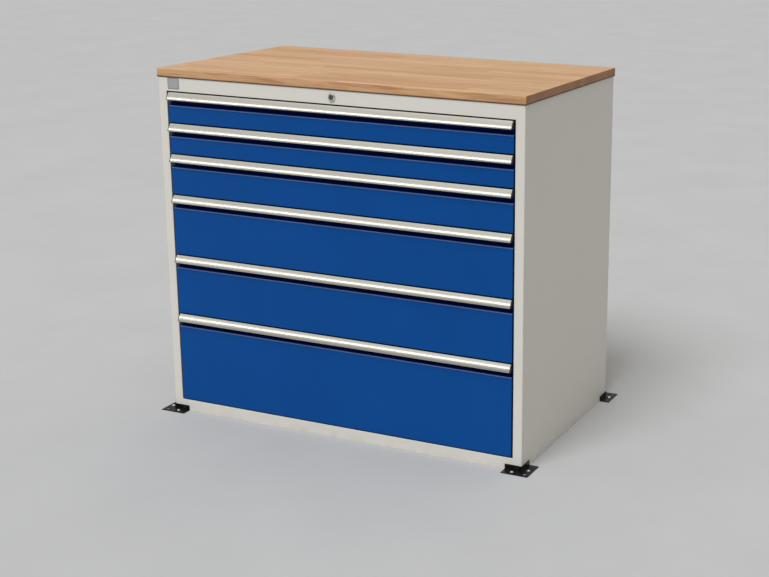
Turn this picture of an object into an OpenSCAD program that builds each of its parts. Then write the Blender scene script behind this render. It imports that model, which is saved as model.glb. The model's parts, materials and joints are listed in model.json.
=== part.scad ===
// Drawer cabinet with six full-extension drawers, a central lock and a beech worktop.
// Millimetres. +Z up, front faces -Y, origin on the floor under the middle of the casing.

/* [Casing] */
// Width of the casing, side panel to side panel
body_w = 1145; // [900:1:1400]
// Depth of the casing, front frame to back panel
body_d = 650; // [600:1:760]
// Height of the casing under the worktop
body_h = 1006; // [1006:1:1100]
// Thickness of the casing sheet
sheet = 1.5; // [1:0.1:2.5]
// Face width of the two front stiles
stile_w = 27; // [24:1:40]
// Height of the rail above the drawers, which holds the lock
top_rail_h = 38; // [36:1:60]

/* [Worktop] */
// Thickness of the solid beech worktop
top_t = 25; // [20:1:40]
// Overhang of the worktop past each side panel
top_over = 3; // [0:0.5:20]

/* [Drawers] */
// Front heights of the six drawers, from the bottom up
drawer_h = [270, 180, 180, 120, 90, 90]; // heights on a 30 mm grid
// Height of the rail under the bottom drawer
bottom_rail_h = 34; // [30:1:60]
// Travel of a drawer at full extension
travel = 560; // [400:10:570]
// Gap round each drawer front
gap = 1.5; // [1:0.1:3]
// Thickness of the drawer sheet
tray_t = 1.2; // [0.8:0.1:2]

/* [Handles] */
// How far the grip strip stands out past the drawer fronts
grip_out = 12; // [10:0.5:13]
// Height of the grip strip
grip_h = 21.5; // [20:0.5:24]
// Height of the strip and the finger recess together
recess_h = 39.5; // [38:0.5:46]
// Depth of the finger recess
recess_d = 16; // [12:0.5:18]

/* [Lock] */
// Diameter of the lock's rosette
lock_d = 24; // [20:1:28]
// Lift of the locking bar over a quarter turn of the key
bar_lift = 12; // [8:1:14]

/* [Floor brackets] */
// Length of a bracket's upright along each face
br_len = 50; // [44:1:70]
// Height of a bracket's uprights
br_h = 16; // [12:1:30]
// Width of a bracket's floor flange
br_out = 30; // [28:1:50]
// Thickness of the bracket plate
br_t = 2; // [1.5:0.5:4]

/* [Hidden] */
$fn = 48;
W = body_w / 2;
F = -body_d / 2;           // plane of the fronts and of the front frame
B = body_d / 2;
T = sheet;
open_w = W - stile_w;      // half width of the drawer opening
z_low = bottom_rail_h;
function zsum(i) = i <= 0 ? 0 : drawer_h[i - 1] + zsum(i - 1);
function z0(i) = z_low + 2 + zsum(i);   // foot of front i
open_top = body_h - top_rail_h;
front_w = open_w - 5;      // half width of a drawer front
cap_t = 2.4;               // thickness of a grip strip's end cap
rail_u = 14;               // room for a runner between tray and casing
tray_x = open_w - rail_u;  // outer face of a tray's side wall
tray_y0 = F + 18;          // a tray's front and back ends
tray_y1 = B - 35;
rail_y0 = F + 25;          // the runners' front and back ends
rail_y1 = rail_y0 + travel + 40;
lock_z = body_h - top_rail_h / 2;
bar_y = B - 25;            // front face of the locking bar
crank_r = bar_lift / sqrt(2);
post_y = [F + 27, B - 85]; // front edges of the mounting posts
screw_xy = [for (x = [-480, 0, 480]) for (y = [-230, 230]) [x, y]];

light_grey = [0.80, 0.81, 0.78];
blue = [0.03, 0.24, 0.53];
alu = [0.80, 0.80, 0.78];
beech = [0.78, 0.58, 0.40];
zinc = [0.66, 0.68, 0.70];
black = [0.04, 0.04, 0.045];

// A box from its lowest to its highest corner.
module bx(a, b) { translate(a) cube([b[0] - a[0], b[1] - a[1], b[2] - a[2]]); }

// ---- casing ----

// One folded side panel: wall, front stile with its return, back fold and bottom fold.
module side_panel(s) {
  color(light_grey) mirror([s < 0 ? 1 : 0, 0, 0]) union() {
    bx([W - T, F, 0], [W, B, body_h]);
    bx([W - stile_w, F, 0], [W, F + T, body_h]);
    bx([W - stile_w, F, 0], [W - stile_w + T, F + 24, body_h - T]);
    bx([W - 22, B - T, 0], [W, B, body_h]);
    bx([W - 26, F + 26, 0], [W, B - 4, T]);
  }
}

// Flat back panel inside the side panels' back folds.
module back_panel() {
  color(light_grey) bx([-W + T, B - 2 * T, T], [W - T, B - T, body_h - T]);
}

// Floor of the casing, with a rim folded down at each side and at the back.
module base_pan() {
  color(light_grey) {
    bx([-W + T, F + 26, 22], [W - T, B - 2 * T, 22 + T]);
    for (s = [-1, 1]) bx([s < 0 ? -W + T : W - 2 * T, F + 26, T], [s < 0 ? -W + 2 * T : W - T, B - 2 * T, 23]);
    bx([-W + T, B - 3 * T, T], [W - T, B - 2 * T, 23]);
  }
}

// Front rail under the drawers, folded to a channel.
module bottom_rail() {
  color(light_grey) {
    bx([-open_w, F, 0], [open_w, F + T, bottom_rail_h]);
    bx([-open_w, F, bottom_rail_h - T], [open_w, F + 24, bottom_rail_h]);
    bx([-open_w, F + 24 - T, 0], [open_w, F + 24, bottom_rail_h]);
    bx([-open_w, F, 0], [open_w, F + 24, T]);
  }
}

// Front rail above the drawers, bored for the lock.
module top_rail() {
  color(light_grey) difference() {
    union() {
      bx([-open_w, F, open_top], [open_w, F + T, body_h]);
      bx([-open_w, F, open_top], [open_w, F + 22, open_top + T]);
    }
    translate([0, F - 1, lock_z]) rotate([-90, 0, 0]) cylinder(r = 9.6, h = 6);
  }
}

// Top of the casing, which carries the worktop.
module top_plate() {
  color(light_grey) difference() {
    union() {
      bx([-W + T, F + T, body_h - T], [W - T, B - 3 * T, body_h]);
      bx([-W + 30, F + 25, body_h - 16], [W - 30, F + 25 + T, body_h - T]);
      bx([-W + 30, B - 34, body_h - 16], [W - 30, B - 34 + T, body_h - T]);
    }
    for (p = screw_xy) translate([p[0], p[1], body_h - 10]) cylinder(r = 3.2, h = 20);
    translate([0, F + 20, lock_z]) rotate([-90, 0, 0]) cylinder(r = 11, h = 10);
    translate([0, B - 38, lock_z]) rotate([-90, 0, 0]) cylinder(r = 11, h = 10);
  }
}

// Solid beech top with blind pilot holes underneath.
module worktop() {
  color(beech) difference() {
    bx([-W - top_over, F - 2, body_h], [W + top_over, B + 4, body_h + top_t]);
    for (p = screw_xy) translate([p[0], p[1], body_h - 1]) cylinder(r = 2.6, h = 17);
  }
}

// Six screws that hold the worktop from below.
module worktop_screws() {
  color(zinc) for (p = screw_xy) translate([p[0], p[1], 0]) {
    translate([0, 0, body_h - T - 3]) cylinder(r = 5.5, h = 3);
    translate([0, 0, body_h - T - 3]) cylinder(r = 2.5, h = 3 + T + 14);
  }
}

// A pair of slotted mounting posts on one side, front and back.
module posts(s) {
  n = floor((body_h - 120) / 30);
  color(zinc) mirror([s < 0 ? 1 : 0, 0, 0]) for (y = post_y) difference() {
    union() {
      bx([open_w, y, 24], [open_w + T, y + 40, body_h - 20]);
      for (f = [0, 40 - T]) bx([open_w, y + f, 24], [W - T, y + f + T, body_h - 20]);
    }
    for (k = [0:n - 1]) bx([open_w - 1, y + 16, 60 + 30 * k], [open_w + 3, y + 24, 74 + 30 * k]);
  }
}

// ---- runners ----

// One C-shaped runner: u0..u1 are its flanges' reach and web0..web1 its web, both counted
// outward from the tray's side wall; dz is half its height.
module runner(u0, u1, web0, web1, dz, y0, y1, z) {
  translate([0, y0, z]) {
    t = 1.2;
    bx([tray_x + web0, 0, -dz], [tray_x + web1, y1 - y0, dz]);
    for (s = [-1, 1]) bx([tray_x + u0, 0, s < 0 ? -dz : dz - t], [tray_x + u1, y1 - y0, s < 0 ? -dz + t : dz]);
  }
}

function runner_z(i) = z0(i) + 36;

// The six outer runners on one side of the casing.
module cabinet_runners(s) {
  color(zinc) mirror([s < 0 ? 1 : 0, 0, 0]) for (i = [0:5])
    runner(4, rail_u, rail_u - 1.2, rail_u, 22.5, rail_y0, rail_y1, runner_z(i));
}

// A drawer's pair of middle runners, which travel half as far as the drawer.
module middle_runners(i) {
  color(zinc) for (s = [0, 1]) mirror([s, 0, 0])
    runner(2.6, 11.4, 10.2, 11.4, 19.6, rail_y0 + 4, rail_y1 - 10, runner_z(i));
}

// The pair of runners fixed to a drawer's side walls.
module drawer_runners(i) {
  color(zinc) for (s = [0, 1]) mirror([s, 0, 0])
    runner(0, 8.2, 0, 1.2, 16.6, rail_y0 + 2, rail_y1 - 20, runner_z(i));
}

// ---- drawers ----

// Welded tray: floor, side walls with a rim turned inward, front wall, and a back wall with a
// catch. The five plates stand a hair apart, so that each is a solid of its own.
module tray(i) {
  a = z0(i) + 10;
  b = z0(i) + drawer_h[i] - 32;
  x = tray_x;
  t = tray_t;
  e = 0.05;
  y0 = tray_y0;
  y1 = tray_y1;
  color(light_grey) {
    bx([-x + t + e, y0 + t + e, a], [x - t - e, y1 - t - e, a + t]);
    for (s = [0, 1]) mirror([s, 0, 0]) {
      bx([x - t, y0, a], [x, y1, b]);
      bx([x - 7, y0, b - t], [x, y1, b]);
    }
    bx([-x + t + e, y0, a], [x - t - e, y0 + t, b - t - e]);
    bx([-x + t + e, y1 - t, a], [x - t - e, y1, b - t - e]);
    bx([12, y1 - t, b - 2 * t - e], [28, y1 + 7, b - t - e]);
    bx([12, y1 + 7 - t, b - 14], [28, y1 + 7, b - t - e]);
  }
}

// Blue drawer front: folded sheet with a finger recess along its top edge, and its ends closed.
module front(i) {
  a = gap;
  b = drawer_h[i] - gap - 2.4;
  c = drawer_h[i] - recess_h;
  t = tray_t;
  rd = recess_d;
  outer = [[18, a], [1.2, a], [0.35, a + 0.35], [0, a + 1.2], [0, c - 2.4], [0.7, c - 0.7], [2.4, c], [rd, c + 6], [rd, b], [18, b]];
  inner = [[18 - t, a + t], [t, a + t], [t, c - 3], [1.6, c - 1.7], [2.9, c - 1.2], [rd - 0.4, c + 4.5], [18 - t, c + 4.5]];
  color(blue) translate([0, F, z0(i)]) difference() {
    rotate([90, 0, 90]) translate([0, 0, -front_w]) linear_extrude(2 * front_w) polygon(outer);
    rotate([90, 0, 90]) translate([0, 0, -front_w + t]) linear_extrude(2 * (front_w - t)) polygon(inner);
  }
}

// The grip strip's outer face, from its top edge over a shallow arc to its rounded lip.
function grip_face() = let(
  g = grip_out, k = grip_h,
  a = 0.92 * g, d = 0.86 * k,     // reach and drop of the arc
  mid = atan(a / d), h = 10,      // its middle slope, and how far it bends either way
  r = sqrt(a * a + d * d) / 2 / sin(h))
  concat(
    [[0.5, 0], [-0.3, -0.25]],
    [for (j = [0:8]) let(e = mid + h - j * h / 4) [-0.8 + r * (cos(mid + h) - cos(e)), -0.8 + r * (sin(e) - sin(mid + h))]],
    [[-g, -0.935 * k], [-0.99 * g, -0.97 * k], [-0.94 * g, -k], [-0.87 * g, -0.995 * k]]);

// Extruded aluminium grip strip, hooked over the front's top edge.
module handle(i) {
  g = grip_out;
  k = grip_h;
  rd = recess_d;
  shape = concat(
    [[rd + 1.6, 0]], grip_face(),
    [[-0.85 * g, -0.96 * k], [-0.55 * g, -0.61 * k], [-0.5 * g, -0.54 * k], [0.9, -2], [rd - 2, -2], [rd - 2, -16], [rd, -16], [rd, -2], [rd + 1.6, -2]]);
  color(alu) translate([0, F, z0(i) + drawer_h[i] - gap])
    rotate([90, 0, 90]) translate([0, 0, -front_w + cap_t]) linear_extrude(2 * (front_w - cap_t)) polygon(shape);
}

// Black plastic caps that close the two ends of the strip.
module end_caps(i) {
  g = grip_out;
  k = grip_h;
  shape = concat([[recess_d - 0.2, 0]], grip_face(), [[0.2, -18], [recess_d - 0.2, -18]]);
  color(black) for (s = [0, 1]) mirror([s, 0, 0]) translate([0, F, z0(i) + drawer_h[i] - gap])
    rotate([90, 0, 90]) translate([0, 0, front_w - cap_t]) linear_extrude(cap_t) polygon(shape);
}

// ---- lock ----

module lock_at(y) { translate([0, y, lock_z]) rotate([-90, 0, 0]) children(); }

// Turned housing: rosette in front of the rail, threaded sleeve behind it.
module lock_housing() {
  color([0.85, 0.85, 0.86]) difference() {
    union() {
      lock_at(F - 4) cylinder(r1 = lock_d / 2 - 2, r2 = lock_d / 2, h = 2);
      lock_at(F - 2) cylinder(r = lock_d / 2, h = 2);
      lock_at(F - 0.5) cylinder(r = 9.5, h = 20.5);
    }
    lock_at(F - 5) cylinder(r = 7, h = 30);
  }
}

// Hexagonal nut behind the rail.
module lock_nut() {
  color(zinc) difference() {
    lock_at(F + T) cylinder(r = 14, h = 4, $fn = 6);
    lock_at(F + T - 1) cylinder(r = 9.55, h = 6);
  }
}

// Rotor that the key turns, with its keyway.
module lock_plug() {
  color([0.72, 0.72, 0.73]) difference() {
    lock_at(F - 4.6) cylinder(r = 6.95, h = 26);
    bx([-0.9, F - 6, lock_z - 4], [0.9, F + 12, lock_z + 4]);
  }
}

// Shaft that carries the turn to the back of the casing.
module lock_shaft() {
  color(zinc) lock_at(F + 21.4) cylinder(r = 4, h = bar_y - F - 21.4 - 5);
}

// Crank on the shaft's back end; its pin points down at 45 degrees while the lock is open.
module lock_cam() {
  color(zinc) lock_at(bar_y - 5) {
    cylinder(r = 7, h = 4);
    rotate([0, 0, 135]) translate([0, -3.4, 0]) cube([crank_r, 6.8, 4]);
    rotate([0, 0, 135]) translate([crank_r, 0, 0]) cylinder(r = 3.4, h = 4);
    rotate([0, 0, 135]) translate([crank_r, 0, 0]) cylinder(r = 2.5, h = 9.5);
  }
}

// Vertical bar with a slot for the crank's pin and one hook behind each tray.
module locking_bar() {
  pz = lock_z - bar_lift / 2;
  color(zinc) difference() {
    union() {
      bx([-14, bar_y, 70], [14, bar_y + 3, pz + 8]);
      for (i = [0:5]) {
        z = z0(i) + drawer_h[i] - 46;
        bx([-8, bar_y - 8, z], [8, bar_y, z + 3]);
        bx([-8, bar_y - 8, z], [8, bar_y - 5.5, z + 9]);
      }
    }
    bx([-crank_r - 2.9, bar_y - 1, pz - 2.9], [-bar_lift / 2 + 2.9, bar_y + 4, pz + 2.9]);
  }
}

// Guides on the back panel that the locking bar runs in.
module bar_guides() {
  color(zinc) for (z = [120, 480, 840]) difference() {
    bx([-24, bar_y - 2, z], [24, B - 2 * T, z + 25]);
    bx([-14.6, bar_y - 0.6, z - 1], [14.6, bar_y + 3.6, z + 26]);
    bx([-9.6, bar_y - 3, z - 1], [9.6, bar_y, z + 26]);
  }
}

// Blank plate at the left end of the top rail.
module label_plate() {
  color([0.75, 0.76, 0.77]) bx([-open_w + 6, F - 0.8, lock_z - 13], [-open_w + 44, F, body_h - 1]);
}

// ---- floor brackets ----

// One corner bracket: an L-shaped floor flange with two uprights against the casing,
// two screw holes and an open anchor hole at its corner.
module bracket() {
  difference() {
    union() {
      difference() {
        bx([W - br_len, B - br_len, 0], [W + br_out, B + br_out, br_t]);
        bx([W - br_len - 1, B - br_len - 1, -1], [W, B, br_t + 1]);
      }
      bx([W - br_len, B, 0], [W + br_t, B + br_t, br_h]);
      bx([W, B - br_len, 0], [W + br_t, B + br_t, br_h]);
    }
    translate([W - 22, B + br_out / 2 + 1, -1]) cylinder(r = 2.6, h = 6);
    translate([W + br_out / 2 + 1, B - 10, -1]) cylinder(r = 2.6, h = 6);
    translate([W + br_out / 2 + 1, B + br_out / 2 + 1, -1]) cylinder(r = 4.5, h = 6);
  }
}

module four() { for (mx = [0, 1]) for (my = [0, 1]) mirror([mx, 0, 0]) mirror([0, my, 0]) children(); }

module corner_brackets() { color(black) four() bracket(); }

// Screws with domed heads, two in each bracket.
module bracket_screws() {
  color([0.85, 0.85, 0.86]) four() for (p = [[W - 22, B + br_out / 2 + 1], [W + br_out / 2 + 1, B - 10]])
    translate([p[0], p[1], 0]) {
      cylinder(r = 2.5, h = br_t + 1);
      translate([0, 0, br_t]) intersection() {
        translate([0, 0, -4]) sphere(r = 7.2, $fn = 48);
        cylinder(r = 5.3, h = 5);
      }
    }
}

side_panel(-1);  // side_panel_left
side_panel(1);  // side_panel_right
back_panel();
base_pan();
bottom_rail();
top_rail();
top_plate();
worktop();
worktop_screws();
posts(-1);  // posts_left
posts(1);  // posts_right
cabinet_runners(-1);  // cabinet_runners_left
cabinet_runners(1);  // cabinet_runners_right
bar_guides();
lock_housing();
lock_nut();
lock_plug();
lock_shaft();
lock_cam();
locking_bar();
label_plate();
corner_brackets();
bracket_screws();
tray(5);  // drawer1_tray
front(5);  // drawer1_front
handle(5);  // drawer1_handle
end_caps(5);  // drawer1_end_caps
drawer_runners(5);  // drawer1_drawer_runners
middle_runners(5);  // drawer1_middle_runners
tray(4);  // drawer2_tray
front(4);  // drawer2_front
handle(4);  // drawer2_handle
end_caps(4);  // drawer2_end_caps
drawer_runners(4);  // drawer2_drawer_runners
middle_runners(4);  // drawer2_middle_runners
tray(3);  // drawer3_tray
front(3);  // drawer3_front
handle(3);  // drawer3_handle
end_caps(3);  // drawer3_end_caps
drawer_runners(3);  // drawer3_drawer_runners
middle_runners(3);  // drawer3_middle_runners
tray(2);  // drawer4_tray
front(2);  // drawer4_front
handle(2);  // drawer4_handle
end_caps(2);  // drawer4_end_caps
drawer_runners(2);  // drawer4_drawer_runners
middle_runners(2);  // drawer4_middle_runners
tray(1);  // drawer5_tray
front(1);  // drawer5_front
handle(1);  // drawer5_handle
end_caps(1);  // drawer5_end_caps
drawer_runners(1);  // drawer5_drawer_runners
middle_runners(1);  // drawer5_middle_runners
tray(0);  // drawer6_tray
front(0);  // drawer6_front
handle(0);  // drawer6_handle
end_caps(0);  // drawer6_end_caps
drawer_runners(0);  // drawer6_drawer_runners
middle_runners(0);  // drawer6_middle_runners
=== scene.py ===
import json
import math

import bmesh
import bpy
from mathutils import Matrix, Vector

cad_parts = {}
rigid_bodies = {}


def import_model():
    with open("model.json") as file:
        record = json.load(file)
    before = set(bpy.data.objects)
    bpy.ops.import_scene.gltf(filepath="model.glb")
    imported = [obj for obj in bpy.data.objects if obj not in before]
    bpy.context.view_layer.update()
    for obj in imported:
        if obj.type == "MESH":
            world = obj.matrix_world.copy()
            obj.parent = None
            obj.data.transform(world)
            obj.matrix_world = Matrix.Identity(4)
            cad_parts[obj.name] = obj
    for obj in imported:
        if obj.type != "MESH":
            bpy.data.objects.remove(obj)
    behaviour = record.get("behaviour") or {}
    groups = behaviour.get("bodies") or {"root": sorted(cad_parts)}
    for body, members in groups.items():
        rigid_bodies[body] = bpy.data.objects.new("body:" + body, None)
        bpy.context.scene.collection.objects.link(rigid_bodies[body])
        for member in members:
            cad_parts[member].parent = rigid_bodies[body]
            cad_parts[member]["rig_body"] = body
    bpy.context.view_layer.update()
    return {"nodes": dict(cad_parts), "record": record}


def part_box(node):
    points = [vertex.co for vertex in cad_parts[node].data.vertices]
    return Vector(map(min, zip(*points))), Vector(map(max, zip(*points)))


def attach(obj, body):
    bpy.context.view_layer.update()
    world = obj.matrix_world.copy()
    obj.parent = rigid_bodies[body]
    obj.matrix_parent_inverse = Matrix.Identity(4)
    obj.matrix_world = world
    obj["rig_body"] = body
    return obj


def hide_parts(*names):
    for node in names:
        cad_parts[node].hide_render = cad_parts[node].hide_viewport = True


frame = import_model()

NODES = frame["nodes"]

# the casing's planes in metres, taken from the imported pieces
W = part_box("side_panel_right")[1].x
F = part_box("side_panel_right")[0].y
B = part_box("side_panel_right")[1].y
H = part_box("side_panel_right")[1].z
OPEN_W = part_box("top_rail")[1].x
OPEN_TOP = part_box("top_rail")[0].z
OPEN_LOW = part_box("bottom_rail")[1].z


# ------------------------------------------------------------------ materials
class Mat:
    """A procedural material under construction: n() adds a node, to() links two sockets."""

    def __init__(self, name, **sockets):
        self.m = bpy.data.materials.new(name)
        self.m.use_nodes = True
        self.t = self.m.node_tree
        self.t.nodes.clear()
        self.out = self.t.nodes.new("ShaderNodeOutputMaterial")
        self.b = self.t.nodes.new("ShaderNodeBsdfPrincipled")
        self.to(self.b.outputs[0], self.out.inputs[0])
        for k, v in sockets.items():
            self.b.inputs[k.replace("_", " ")].default_value = v
        self.tc = self.n("ShaderNodeTexCoord").outputs["Object"]

    def n(self, kind, ins=None, **attrs):
        node = self.t.nodes.new(kind)
        for k, v in attrs.items():
            setattr(node, k, v)
        for k, v in (ins or {}).items():
            s = node.inputs[k]
            if isinstance(v, bpy.types.NodeSocket):
                self.t.links.new(v, s)
            else:
                s.default_value = v
        return node

    def to(self, a, b):
        self.t.links.new(a, b)

    def math(self, op, a, b=0.0, c=0.0, clamp=False):
        return self.n("ShaderNodeMath", {0: a, 1: b, 2: c}, operation=op, use_clamp=clamp).outputs[0]

    def scaled(self, sx, sy, sz, src=None, loc=(0, 0, 0)):
        return self.n("ShaderNodeMapping", {"Vector": src or self.tc, "Scale": (sx, sy, sz), "Location": loc}).outputs[0]

    def noise(self, vec, scale=1.0, detail=4.0, rough=0.55, dist=0.0):
        return self.n("ShaderNodeTexNoise", {"Vector": vec, "Scale": scale, "Detail": detail, "Roughness": rough, "Distortion": dist}).outputs["Fac"]

    def ramp(self, fac, stops, interp="LINEAR"):
        r = self.n("ShaderNodeValToRGB", {"Fac": fac})
        r.color_ramp.interpolation = interp
        e = r.color_ramp.elements
        while len(e) < len(stops):
            e.new(0.5)
        for k, (pos, col) in enumerate(stops):
            e[k].position = pos
            e[k].color = col if len(col) == 4 else (*col, 1.0)
        return r.outputs["Color"]

    def span(self, fac, lo, hi, to_lo=0.0, to_hi=1.0):
        return self.n("ShaderNodeMapRange", {"Value": fac, "From Min": lo, "From Max": hi, "To Min": to_lo, "To Max": to_hi}).outputs["Result"]

    def mix(self, fac, a, b, blend="MIX"):
        node = self.t.nodes.new("ShaderNodeMix")
        node.data_type = "RGBA"
        node.blend_type = blend
        for k, v in ((0, fac), (6, a), (7, b)):
            s = node.inputs[k]
            if isinstance(v, bpy.types.NodeSocket):
                self.t.links.new(v, s)
            else:
                s.default_value = v if k == 0 else ((*v, 1.0) if len(v) == 3 else v)
        return node.outputs[2]

    def bump(self, height, strength, distance, normal=None):
        node = self.n("ShaderNodeBump", {"Height": height, "Strength": strength, "Distance": distance})
        if normal is not None:
            self.to(normal, node.inputs["Normal"])
        return node.outputs["Normal"]

    def set(self, name, socket):
        self.to(socket, self.b.inputs[name])


def lin(r, g, b):
    """Linear colour from 0..255 screen values."""
    f = lambda v: (v / 255 / 12.92) if v / 255 <= 0.04045 else ((v / 255 + 0.055) / 1.055) ** 2.4
    return (f(r), f(g), f(b))


def tint(c, k):
    return tuple(min(1.0, v * k) for v in c)


def powder_coat(name, col, rough=0.48, vary=0.05, grain=0.16, dust=0.0, spec=0.5, gap_shade=0.0):
    """Fine-texture powder coat: orange-peel skin, faint clouding, small scuffs and settled dust, and painted shade
    on the ledges inside the drawer opening.
    """
    m = Mat(name, Roughness=rough, IOR=1.5, Specular_IOR_Level=spec)
    cloud = m.noise(m.scaled(1, 1, 1), 3.1, 3.0, 0.6)
    streak = m.noise(m.scaled(9.0, 9.0, 1.3), 1.0, 5.0, 0.6, 0.4)
    speck = m.noise(m.tc, 620.0, 2.0, 0.6)
    base = m.mix(m.span(cloud, 0.3, 0.7), tint(col, 1 - vary), tint(col, 1 + vary))
    base = m.mix(m.span(streak, 0.35, 0.75, 0.0, 0.3), base, tint(col, 1 - 1.6 * vary))
    base = m.mix(m.span(speck, 0.3, 0.7, 0.0, 0.22), base, tint(col, 1 + 2.2 * vary))
    # faint rubbed marks
    scuff = m.noise(m.scaled(30.0, 30.0, 5.0, loc=(3.1, 0.7, 0.2)), 1.0, 8.0, 0.72, 1.2)
    rub = m.span(scuff, 0.68, 0.76, 0.0, 0.14)
    base = m.mix(rub, base, tuple(0.80 * v + 0.06 for v in col))
    if dust > 0:
        z = m.n("ShaderNodeSeparateXYZ", {0: m.tc}).outputs[2]
        low = m.math("MULTIPLY", m.span(z, 0.035, 0.0, 0.0, 1.0), m.span(m.noise(m.tc, 22.0, 6.0, 0.65), 0.35, 0.7))
        base = m.mix(m.math("MULTIPLY", low, dust), base, lin(139, 130, 117))
    if gap_shade > 0:
        # painted shade: the up-facing ledges and, more weakly, the side returns inside the drawer opening are
        # darkened as the shade in the narrow gaps round the fronts
        px, py, pz = m.n("ShaderNodeSeparateXYZ", {0: m.tc}).outputs
        side, front, up = m.n("ShaderNodeSeparateXYZ", {0: m.n("ShaderNodeNewGeometry").outputs["Normal"]}).outputs
        inside = m.math("MULTIPLY", m.span(py, F + 0.0012, F + 0.0030), m.math("LESS_THAN", m.math("ABSOLUTE", px), OPEN_W + 0.0004))
        turn = m.math("MAXIMUM", m.span(up, 0.6, 0.9), m.span(m.math("ABSOLUTE", side), 0.6, 0.9, 0.0, 0.6))
        gap_shade_mask = m.math("MULTIPLY", inside, turn)
        base = m.mix(m.math("MULTIPLY", gap_shade_mask, gap_shade), base, lin(30, 29, 31))
    m.set("Base Color", base)
    m.set("Roughness", m.math("ADD", m.span(cloud, 0.25, 0.75, rough - 0.05, rough + 0.06), m.math("MULTIPLY", rub, 0.5)))
    peel = m.noise(m.tc, 430.0, 3.0, 0.55)
    fine = m.noise(m.tc, 1500.0, 2.0, 0.5)
    warp = m.noise(m.tc, 5.0, 2.0, 0.4)
    nb = m.bump(warp, 0.18, 0.0012)
    nb = m.bump(peel, grain, 0.0004, nb)
    m.set("Normal", m.bump(fine, grain * 0.6, 0.00015, nb))
    return m


def drawn_aluminium(name, col, rough=0.3):
    """Anodised extrusion with drawing lines along X."""
    m = Mat(name, Metallic=1.0, Roughness=rough, Anisotropic=0.35)
    line = m.noise(m.scaled(0.16, 1300.0, 1300.0), 1.0, 2.0, 0.5)
    broad = m.noise(m.scaled(0.08, 160.0, 160.0), 1.0, 2.0, 0.5)
    cloud = m.noise(m.scaled(6.0, 60.0, 60.0), 1.0, 4.0, 0.6)
    base = m.mix(m.span(line, 0.3, 0.7), tint(col, 0.96), tint(col, 1.03))
    base = m.mix(m.span(broad, 0.35, 0.7, 0.0, 0.25), base, tint(col, 0.93))
    m.set("Base Color", base)
    m.set("Roughness", m.math("ADD", m.span(line, 0.3, 0.7, rough - 0.012, rough + 0.018), m.span(cloud, 0.4, 0.8, 0.0, 0.03)))
    nb = m.bump(broad, 0.003, 0.0001)
    m.set("Normal", m.bump(line, 0.005, 0.00004, nb))
    return m


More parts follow.
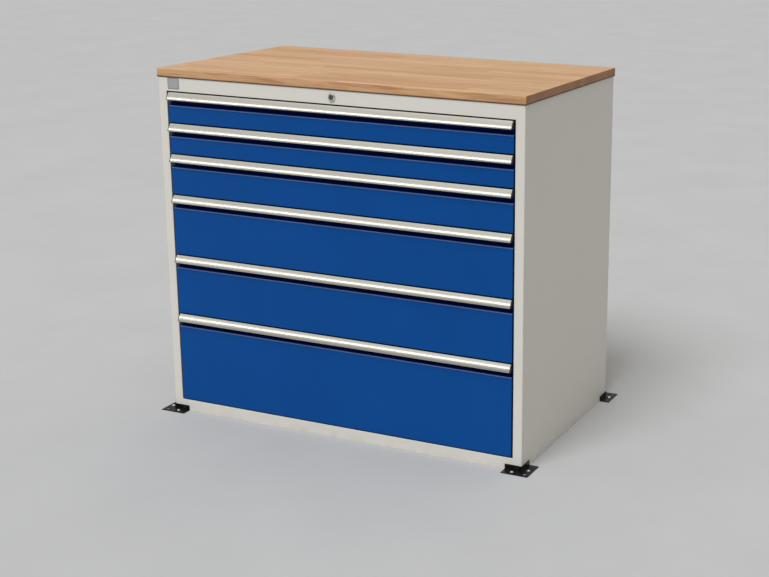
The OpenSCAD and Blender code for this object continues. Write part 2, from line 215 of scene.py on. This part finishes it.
def beech_top(name):
    """Glued beech staves along X: each stave has its own tone and figure, flecks, and end grain on the ends."""
    m = Mat(name, Roughness=0.42, IOR=1.48)
    xyz = m.n("ShaderNodeSeparateXYZ", {0: m.tc})
    x, y, z = xyz.outputs
    row = m.math("FLOOR", m.math("DIVIDE", m.math("ADD", y, 2.0), 0.0435))
    r1 = m.n("ShaderNodeTexWhiteNoise", {"W": row}, noise_dimensions="1D").outputs["Value"]
    xs = m.math("ADD", x, m.math("MULTIPLY_ADD", r1, 3.7, 4.0))
    length = m.math("MULTIPLY_ADD", r1, 0.28, 0.46)
    colu = m.math("FLOOR", m.math("DIVIDE", xs, length))
    cid = m.n("ShaderNodeCombineXYZ", {0: row, 1: colu, 2: 0.37}).outputs[0]
    wn = m.n("ShaderNodeTexWhiteNoise", {"Vector": cid}, noise_dimensions="3D")
    rid = wn.outputs["Value"]
    sep = m.n("ShaderNodeSeparateColor", {0: wn.outputs["Color"]})
    r2, r3 = sep.outputs[1], sep.outputs[2]
    # along the long edges one stave runs the whole length
    nrm = m.n("ShaderNodeSeparateXYZ", {0: m.n("ShaderNodeNewGeometry").outputs["Normal"]})
    inner = m.span(m.math("ABSOLUTE", nrm.outputs[1]), 0.8, 0.6)
    one = lambda v, c: m.math("MULTIPLY_ADD", m.math("SUBTRACT", v, c), inner, c)
    rid, r2, r3 = one(rid, 0.45), one(r2, 0.5), one(r3, 0.3)
    # grain coordinates, shifted from stave to stave and slightly slanted
    slant = m.math("MULTIPLY", m.math("SUBTRACT", r2, 0.5), 0.05)
    yy = m.math("ADD", m.math("ADD", y, m.math("MULTIPLY", rid, 7.3)), m.math("MULTIPLY", x, slant))
    zz = m.math("ADD", z, m.math("MULTIPLY", r3, 3.1))
    g = m.n("ShaderNodeCombineXYZ", {0: m.math("ADD", x, m.math("MULTIPLY", r3, 5.0)), 1: yy, 2: zz}).outputs[0]
    figure = m.noise(m.scaled(2.4, 26.0, 26.0, g), 1.0, 4.0, 0.55, 1.6)
    fibre = m.noise(m.scaled(9.0, 420.0, 420.0, g), 1.0, 4.0, 0.6, 0.2)
    fleck = m.noise(m.scaled(260.0, 1500.0, 1500.0, g), 1.0, 1.0, 0.5)
    rings = m.n("ShaderNodeTexWave", {"Vector": m.scaled(1.0, 11.0, 11.0, g), "Scale": 1.0, "Distortion": 7.0, "Detail": 3.0, "Detail Scale": 0.9, "Detail Roughness": 0.55}, wave_type="BANDS", bands_direction="Y").outputs["Fac"]
    light, mid, deep, red = lin(193, 157, 119), lin(184, 145, 107), lin(156, 109, 70), lin(172, 123, 85)
    base = m.mix(rid, light, mid)
    base = m.mix(m.math("MULTIPLY", m.math("GREATER_THAN", r2, 0.72), 0.55), base, red)
    base = m.mix(m.math("MULTIPLY", m.span(figure, 0.42, 0.72, 0.0, 0.55), m.math("MULTIPLY_ADD", inner, -0.45, 1.45)), base, deep)
    base = m.mix(m.span(rings, 0.55, 1.0, 0.0, 0.28), base, deep)
    base = m.mix(m.span(fibre, 0.35, 0.7, 0.0, 0.30), base, tint(light, 1.07))
    base = m.mix(m.span(fleck, 0.66, 0.74, 0.0, 0.5), base, lin(132, 86, 54))
    # long wavy flames along the front and back edges
    outer = m.math("SUBTRACT", 1.0, inner)
    flame = m.noise(m.scaled(5.5, 40.0, 95.0, g, loc=(0.4, 1.7, 0.9)), 1.0, 4.0, 0.6, 1.1)
    base = m.mix(outer, base, (1.12, 1.08, 1.035), "MULTIPLY")
    base = m.mix(m.math("MULTIPLY", m.span(flame, 0.46, 0.64, 0.0, 0.68), outer), base, lin(150, 101, 62))
    # glue lines between staves
    fy = m.math("FRACT", m.math("DIVIDE", m.math("ADD", y, 2.0), 0.0435))
    fx = m.math("FRACT", m.math("DIVIDE", xs, length))
    jy = m.math("LESS_THAN", m.math("MINIMUM", fy, m.math("SUBTRACT", 1.0, fy)), 0.010)
    jx = m.math("LESS_THAN", m.math("MINIMUM", fx, m.math("SUBTRACT", 1.0, fx)), 0.0006)
    joint = m.math("MAXIMUM", jy, m.math("MULTIPLY", jx, inner))
    base = m.mix(m.math("MULTIPLY", joint, 0.35), base, lin(140, 96, 62))
    # end grain
    ends = m.span(m.math("ABSOLUTE", nrm.outputs[0]), 0.6, 0.8)
    pores = m.noise(m.scaled(900.0, 900.0, 900.0), 1.0, 2.0, 0.6)
    arcs = m.n("ShaderNodeTexWave", {"Vector": g, "Scale": 34.0, "Distortion": 5.0, "Detail": 2.0, "Detail Scale": 0.5}, wave_type="RINGS", rings_direction="X").outputs["Fac"]
    endc = m.mix(m.span(arcs, 0.2, 0.9, 0.0, 0.75), lin(176, 127, 90), lin(142, 95, 63))
    endc = m.mix(m.math("MULTIPLY", rid, 0.45), endc, lin(118, 80, 56))
    endc = m.mix(m.span(pores, 0.55, 0.7, 0.0, 0.6), endc, lin(96, 62, 42))
    endc = m.mix(m.math("MULTIPLY", jy, 0.5), endc, lin(80, 52, 36))
    base = m.mix(ends, base, endc)
    # painted shade: a darker strip along the lower arris, standing in for the shade line under the worktop's
    # overhang
    low = m.span(z, H + 0.0056, H + 0.0022)
    base = m.mix(m.math("MULTIPLY", low, 0.92), base, lin(58, 38, 26))
    m.set("Base Color", base)
    m.set("Roughness", m.math("ADD", m.span(fibre, 0.3, 0.7, 0.36, 0.50), m.math("MULTIPLY", ends, 0.12)))
    h = m.math("ADD", m.math("MULTIPLY", fibre, 0.5), m.math("ADD", m.math("MULTIPLY", m.span(fleck, 0.66, 0.74), -0.5), m.math("MULTIPLY", joint, -0.7)))
    m.set("Normal", m.bump(h, 0.22, 0.00035))
    return m


def galvanised(name, col=(0.60, 0.61, 0.63), rough=0.36):
    """Zinc-coated sheet with a small spangle and rolling lines."""
    m = Mat(name, Metallic=1.0, Roughness=rough)
    cell = m.n("ShaderNodeTexVoronoi", {"Vector": m.tc, "Scale": 240.0}).outputs["Color"]
    cv = m.n("ShaderNodeSeparateColor", {0: cell}).outputs[0]
    roll = m.noise(m.scaled(400.0, 6.0, 400.0), 1.0, 4.0, 0.6)
    base = m.mix(m.span(cv, 0.0, 1.0), tint(col, 0.86), tint(col, 1.1))
    base = m.mix(m.span(roll, 0.4, 0.7, 0.0, 0.35), base, tint(col, 0.78))
    m.set("Base Color", base)
    m.set("Roughness", m.math("ADD", m.span(cv, 0.0, 1.0, rough - 0.07, rough + 0.08), m.span(roll, 0.3, 0.7, 0.0, 0.06)))
    m.set("Normal", m.bump(roll, 0.12, 0.0002))
    return m


def nickel(name, col=(0.78, 0.76, 0.72), rough=0.17):
    """Nickel plate with turning marks round the Y axis of the lock."""
    m = Mat(name, Metallic=1.0, Roughness=rough)
    v = m.n("ShaderNodeVectorMath", {0: m.tc, 1: (0.0, 0.0, (OPEN_TOP + H) / 2)}, operation="SUBTRACT").outputs[0]
    s = m.n("ShaderNodeSeparateXYZ", {0: v})
    r = m.math("SQRT", m.math("ADD", m.math("POWER", s.outputs[0], 2.0), m.math("POWER", s.outputs[2], 2.0)))
    turn = m.noise(m.n("ShaderNodeCombineXYZ", {0: m.math("MULTIPLY", r, 4200.0), 1: 0.0, 2: 0.0}).outputs[0], 1.0, 2.0, 0.6)
    smear = m.noise(m.tc, 160.0, 5.0, 0.65)
    m.set("Base Color", m.mix(m.span(smear, 0.35, 0.7), tint(col, 0.88), tint(col, 1.05)))
    m.set("Roughness", m.math("ADD", m.span(turn, 0.3, 0.7, rough - 0.05, rough + 0.06), m.span(smear, 0.5, 0.8, 0.0, 0.1)))
    m.set("Normal", m.bump(turn, 0.10, 0.0001))
    return m


def moulded_plastic(name, col=(0.018, 0.018, 0.02), rough=0.5):
    m = Mat(name, Roughness=rough, IOR=1.46)
    g = m.noise(m.tc, 900.0, 3.0, 0.6)
    c = m.noise(m.tc, 40.0, 4.0, 0.6)
    m.set("Base Color", m.mix(m.span(c, 0.3, 0.75), col, tuple(v * 1.8 + 0.004 for v in col)))
    m.set("Roughness", m.span(c, 0.3, 0.7, rough - 0.06, rough + 0.08))
    m.set("Normal", m.bump(g, 0.25, 0.0002))
    return m


def black_paint(name):
    """Black-painted flat steel with rubbed patches and dust on what faces up."""
    m = Mat(name, Roughness=0.2, IOR=1.5, Specular_IOR_Level=0.22)
    c = m.noise(m.tc, 55.0, 6.0, 0.68)
    s = m.noise(m.scaled(160.0, 160.0, 50.0), 1.0, 5.0, 0.7, 0.6)
    up = m.n("ShaderNodeSeparateXYZ", {0: m.n("ShaderNodeNewGeometry").outputs["Normal"]}).outputs[2]
    base = m.mix(m.span(c, 0.3, 0.7), (0.003, 0.003, 0.0035), (0.008, 0.0075, 0.008))
    dust = m.math("MULTIPLY", m.span(up, 0.7, 0.95), m.span(c, 0.45, 0.85, 0.0, 0.45))
    base = m.mix(dust, base, (0.048, 0.036, 0.036))
    base = m.mix(m.span(s, 0.70, 0.78, 0.0, 0.6), base, (0.20, 0.19, 0.18))
    m.set("Base Color", base)
    m.set("Roughness", m.math("ADD", m.span(s, 0.3, 0.7, 0.16, 0.26), m.math("MULTIPLY", dust, 0.25)))
    m.set("Normal", m.bump(m.noise(m.tc, 700.0, 3.0, 0.6), 0.2, 0.0002))
    return m


GREY = (0.640, 0.622, 0.562)
BLUE = (0.0012, 0.060, 0.252)
M = {
    "casing": powder_coat("casing_light_grey", GREY, 0.46, 0.014, 0.12, dust=0.25, gap_shade=0.8),
    "tray_paint": powder_coat("tray_light_grey", tint(GREY, 0.92), 0.50, 0.022, 0.14),
    "front_blue": powder_coat("front_gentian_blue", BLUE, 0.40, 0.05, 0.12, spec=0.11),
    "grip_aluminium": drawn_aluminium("grip_satin_aluminium", (0.71, 0.70, 0.65), 0.20),
    "cap_black": moulded_plastic("end_cap_black"),
    "worktop": beech_top("worktop_oiled_beech"),
    "zinc_steel": galvanised("runner_zinc_steel"),
    "lock_nickel": nickel("lock_nickel"),
    "label_blank": drawn_aluminium("label_blank_plate", (0.50, 0.515, 0.54), 0.38),
    "bracket_black": black_paint("bracket_black_paint"),
    "screw_zinc": galvanised("screw_bright_zinc", (0.82, 0.82, 0.81), 0.24),
}
M2 = {
    # lighter blue on the fold: a painted highlight
    "fold": powder_coat("front_blue_fold_painted_highlight", (0.085, 0.145, 0.37), 0.34, 0.10, 0.10, spec=0.5),
    # darker blue in the finger recess: painted shade
    "recess": powder_coat("front_blue_recess_painted_shade", (0.0010, 0.014, 0.120), 0.55, 0.06, 0.12, spec=0.06),
    # darkened plug metal: painted shade of the keyway and the plug's face
    "plug": nickel("lock_plug_painted_shade", (0.20, 0.195, 0.19), 0.30),
    "rim": drawn_aluminium("label_rim", (0.26, 0.27, 0.29), 0.42),
}
SLOT = {s["node"]: s["material_slot"] for s in frame["record"]["subparts"]}


# ------------------------------------------------------------------ pieces
def clean_bm(node):
    """The node's mesh as a welded bmesh with its flat faces joined."""
    bm = bmesh.new()
    bm.from_mesh(NODES[node].data)
    bmesh.ops.remove_doubles(bm, verts=bm.verts, dist=2e-6)
    bmesh.ops.dissolve_limit(bm, angle_limit=math.radians(0.4), verts=bm.verts, edges=bm.edges)
    bmesh.ops.recalc_face_normals(bm, faces=bm.faces)
    return bm


def finish_piece(bm, name, body, slot, width, weigh=None, segments=3, smooth=32.0, extra=()):
    """A beveled piece from bm: width is the widest bevel in metres, weigh(edge, mid) its share per edge."""
    bl = bm.edges.layers.float.new("bevel_weight_edge")
    for e in bm.edges:
        two = len(e.link_faces) == 2
        ang = e.calc_face_angle(0.0) if two else 0.0
        e.smooth = two and ang < math.radians(smooth)
        if two and ang > math.radians(smooth):
            w = weigh((e.verts[0].co + e.verts[1].co) / 2, e) if weigh else 1.0
            e[bl] = max(0.0, min(1.0, w))
    for f in bm.faces:
        f.smooth = True
    me = bpy.data.meshes.new(name)
    bm.to_mesh(me)
    bm.free()
    me.materials.append(M[slot].m)
    for k in extra:
        me.materials.append(M2[k].m)
    o = bpy.data.objects.new(name, me)
    bpy.context.scene.collection.objects.link(o)
    if width > 0:
        bv = o.modifiers.new("edges", "BEVEL")
        bv.limit_method = "WEIGHT"
        bv.width = width
        bv.segments = segments
        bv.harden_normals = True
        bv.use_clamp_overlap = True
        bv.miter_outer = "MITER_ARC" if segments > 1 else "MITER_SHARP"
        wn = o.modifiers.new("face_normals", "WEIGHTED_NORMAL")
        wn.mode = "FACE_AREA"
        wn.weight = 50
        wn.keep_sharp = True
    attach(o, body)
    return o


def stand_for(node, width=0.0003, weigh=None, segments=2, smooth=32.0, cuts=(), extra=(), dress=None):
    bm = clean_bm(node)
    if dress:
        dress(bm)
    for z in cuts:
        bmesh.ops.bisect_plane(bm, geom=bm.verts[:] + bm.edges[:] + bm.faces[:], dist=1e-6, plane_co=(0, 0, z), plane_no=(0, 0, 1))
    o = finish_piece(bm, "v_" + node, NODES[node]["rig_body"], SLOT[node], width, weigh, segments, smooth, extra)
    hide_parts(node)
    return o


EPS = 2e-4


def near(a, b):
    return abs(a - b) < EPS


def casing_fold(c, e):
    """Bend radii of the casing: the outer corners widest, the edges of the front opening less.
    The welds between stile and rail stay flush."""
    a, b = e.verts[0].co, e.verts[1].co
    if near(a.y, F) and near(b.y, F) and near(abs(a.x), OPEN_W) and near(abs(b.x), OPEN_W):
        return 0.5 if OPEN_LOW - EPS < c.z < OPEN_TOP + EPS else 0.0
    if near(abs(a.x), W) and near(abs(b.x), W) and (near(a.y, F) and near(b.y, F) or near(a.y, B) and near(b.y, B)):
        return 1.0
    if near(a.y, F) and near(b.y, F):
        if abs(a.x - b.x) > 0.5 and (near(a.z, OPEN_TOP) or near(a.z, OPEN_LOW)):
            return 0.5
    return 0.08


for n in ("side_panel_left", "side_panel_right"):
    stand_for(n, 0.0026, casing_fold, 4, cuts=(OPEN_LOW, OPEN_TOP))
for n in ("top_rail", "bottom_rail"):
    stand_for(n, 0.0026, casing_fold, 4)
for n in ("back_panel", "base_pan", "top_plate"):
    stand_for(n, 0.0004)


def top_edges(c, e):
    a, b = e.verts[0].co, e.verts[1].co
    upright = abs(a.z - b.z) > 0.01
    hole = abs(c.x) < 0.5 and abs(c.y) < 0.25
    return 0.0 if hole else 1.0 if upright else 0.62


stand_for("worktop", 0.0032, top_edges, 4)

def front_dress(top):
    """Faces of a drawer front: 0 the blue face, 1 the fold over it, lighter blue as a painted highlight, 2 the
    finger recess, darker blue as painted shade.
    """

    def dress(bm):
        for f in bm.faces:
            c = f.calc_center_median()
            y, z = c.y - F, c.z - top
            # the fold's faces: painted highlight
            if -0.0385 < z < -0.0350 and -1e-5 < y < 0.0025 and f.normal.y < -0.1 and f.normal.z > 0.2:
                f.material_index = 1
            # the recess faces: painted shade
            elif y > 0.0025 and z > -0.0360 and f.normal.y < -0.2:
                f.material_index = 2

    return dress


def label_dress(bm):
    """A pressed border round the blank plate."""
    face = min((f for f in bm.faces if f.normal.y < -0.9), key=lambda f: f.calc_center_median().y)
    rim = bmesh.ops.inset_individual(bm, faces=[face], thickness=0.0022, depth=-0.00022)
    for f in rim["faces"]:
        f.material_index = 1


for n in range(1, 7):
    stand_for("drawer%d_front" % n, 0.0009, None, 3, 50.0, (), ("fold", "recess"), front_dress(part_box("drawer%d_front" % n)[1].z))
    stand_for("drawer%d_handle" % n, 0.0003, None, 2, 38.0)
    stand_for("drawer%d_end_caps" % n, 0.0005, None, 2, 38.0)
    stand_for("drawer%d_tray" % n, 0.0004, None, 2)
    stand_for("drawer%d_drawer_runners" % n, 0.0004, None, 2)
    stand_for("drawer%d_middle_runners" % n, 0.0004, None, 2)
for n in ("cabinet_runners_left", "cabinet_runners_right", "posts_left", "posts_right", "bar_guides", "locking_bar"):
    stand_for(n, 0.0004)
stand_for("lock_housing", 0.0011, None, 4, 20.0)


def plug_dress(bm):
    # every face of the plug takes the darkened metal: painted shade
    for f in bm.faces:
        f.material_index = 1


stand_for("lock_plug", 0.0003, None, 2, 30.0, (), ("plug",), plug_dress)
stand_for("lock_nut", 0.0003, None, 2, 30.0)
stand_for("lock_shaft", 0.0003, None, 2, 30.0)
stand_for("lock_cam", 0.0003, None, 2, 30.0)
stand_for("label_plate", 0.0002, None, 2, 32.0, (), ("rim",), label_dress)
stand_for("corner_brackets", 0.0006, None, 2, 30.0)
stand_for("bracket_screws", 0.0004, None, 2, 30.0)
stand_for("worktop_screws", 0.0003, None, 2, 30.0)


# ------------------------------------------------------------------ stage, light and camera
def floor():
    me = bpy.data.meshes.new("stage_floor")
    s = 40.0
    me.from_pydata([(-s, -s, -0.0002), (s, -s, -0.0002), (s, s, -0.0002), (-s, s, -0.0002)], [], [(0, 1, 2, 3)])
    m = Mat("stage_floor_pale", Roughness=0.95, Specular_IOR_Level=0.05)
    c = m.noise(m.tc, 2.3, 5.0, 0.6)
    m.set("Base Color", m.mix(m.span(c, 0.3, 0.7), (0.375, 0.375, 0.375), (0.395, 0.395, 0.395)))
    m.set("Normal", m.bump(m.noise(m.tc, 90.0, 4.0, 0.6), 0.05, 0.002))
    me.materials.append(m.m)
    o = bpy.data.objects.new("stage_floor", me)
    bpy.context.scene.collection.objects.link(o)


floor()

world = bpy.data.worlds.new("studio")
bpy.context.scene.world = world
world.use_nodes = True
bg = world.node_tree.nodes["Background"]
# brighter overhead than at eye level, as under a large ceiling softbox
wt = world.node_tree
wdir = wt.nodes.new("ShaderNodeTexCoord").outputs["Generated"]
wsep = wt.nodes.new("ShaderNodeSeparateXYZ")
wt.links.new(wdir, wsep.inputs[0])
wup = wt.nodes.new("ShaderNodeMath")
wup.operation = "MAXIMUM"
wt.links.new(wsep.outputs[2], wup.inputs[0])
wup.inputs[1].default_value = 0.0
wsq = wt.nodes.new("ShaderNodeMath")
wsq.operation = "POWER"
wt.links.new(wup.outputs[0], wsq.inputs[0])
wsq.inputs[1].default_value = 2.0
wst = wt.nodes.new("ShaderNodeMath")
wst.operation = "MULTIPLY_ADD"
wt.links.new(wsq.outputs[0], wst.inputs[0])
wst.inputs[1].default_value = 0.86
wst.inputs[2].default_value = 0.266
wt.links.new(wst.outputs[0], bg.inputs[1])
bg.inputs[0].default_value = (1.0, 0.98, 0.93, 1.0)


def area(name, loc, aim, size, energy, color=(1, 1, 1), size_y=None):
    d = bpy.data.lights.new(name, "AREA")
    d.shape = "RECTANGLE"
    d.size = size
    d.size_y = size_y or size
    d.energy = energy
    d.color = color
    o = bpy.data.objects.new(name, d)
    bpy.context.scene.collection.objects.link(o)
    o.location = loc
    o.rotation_mode = "QUATERNION"
    o.rotation_quaternion = (Vector(aim) - Vector(loc)).to_track_quat("-Z", "Y")
    return o


def sun(name, toward, strength, angle, color=(1, 1, 1)):
    d = bpy.data.lights.new(name, "SUN")
    d.energy = strength
    d.angle = math.radians(angle)
    d.color = color
    o = bpy.data.objects.new(name, d)
    bpy.context.scene.collection.objects.link(o)
    o.rotation_mode = "QUATERNION"
    o.rotation_quaternion = Vector(toward).to_track_quat("Z", "Y")
    return o


sun("key", (-0.03, -0.380, 0.62), 2.62, 30, (0.955, 0.975, 1.02)).visible_glossy = False
area("strip", (-3.2, -4.9, 4.35), (-3.2, -0.3, 0.6), 5.2, 27, (1.0, 0.995, 0.97), 0.50)
area("side", (-3.3, -2.5, 1.3), (0.0, -0.3, 0.6), 0.7, 9, (1.0, 0.99, 0.97), 2.2).visible_diffuse = False

# the photograph's view: position, axes (right, down, forward), focal length and principal point in pixels
EYE = (2579.615, -3280.903, 1556.176)
R = ((0.9207361042, 0.3899167084, 0.0144909218),
     (0.1117571891, -0.2279530962, -0.9672371563),
     (-0.3738386778, 0.8921896359, -0.2534606411))
FPX, CX, CY, PW, PH = 1413.307, 545.0, 253.245, 769.0, 577.0
cam_data = bpy.data.cameras.new("camera")
cam = bpy.data.objects.new("camera", cam_data)
bpy.context.scene.collection.objects.link(cam)
cam_data.sensor_fit = "HORIZONTAL"
cam_data.sensor_width = 36.0
cam_data.lens = FPX * 36.0 / PW
cam_data.shift_x = (PW / 2 - CX) / PW
cam_data.shift_y = (CY - PH / 2) / PW
cam_data.clip_start, cam_data.clip_end = 0.05, 200.0
ex, ey, ez = Vector(R[0]), -Vector(R[1]), -Vector(R[2])
loc = Vector(((EYE[0] - 572.5) / 1000, (EYE[1] - 325.0) / 1000, EYE[2] / 1000))
cam.matrix_world = Matrix(((ex.x, ey.x, ez.x, loc.x), (ex.y, ey.y, ez.y, loc.y), (ex.z, ey.z, ez.z, loc.z), (0, 0, 0, 1)))
bpy.context.scene.camera = cam
bpy.context.scene.view_settings.view_transform = "Standard"
bpy.context.scene.view_settings.look = "None"
bpy.context.scene.view_settings.exposure = 0.0
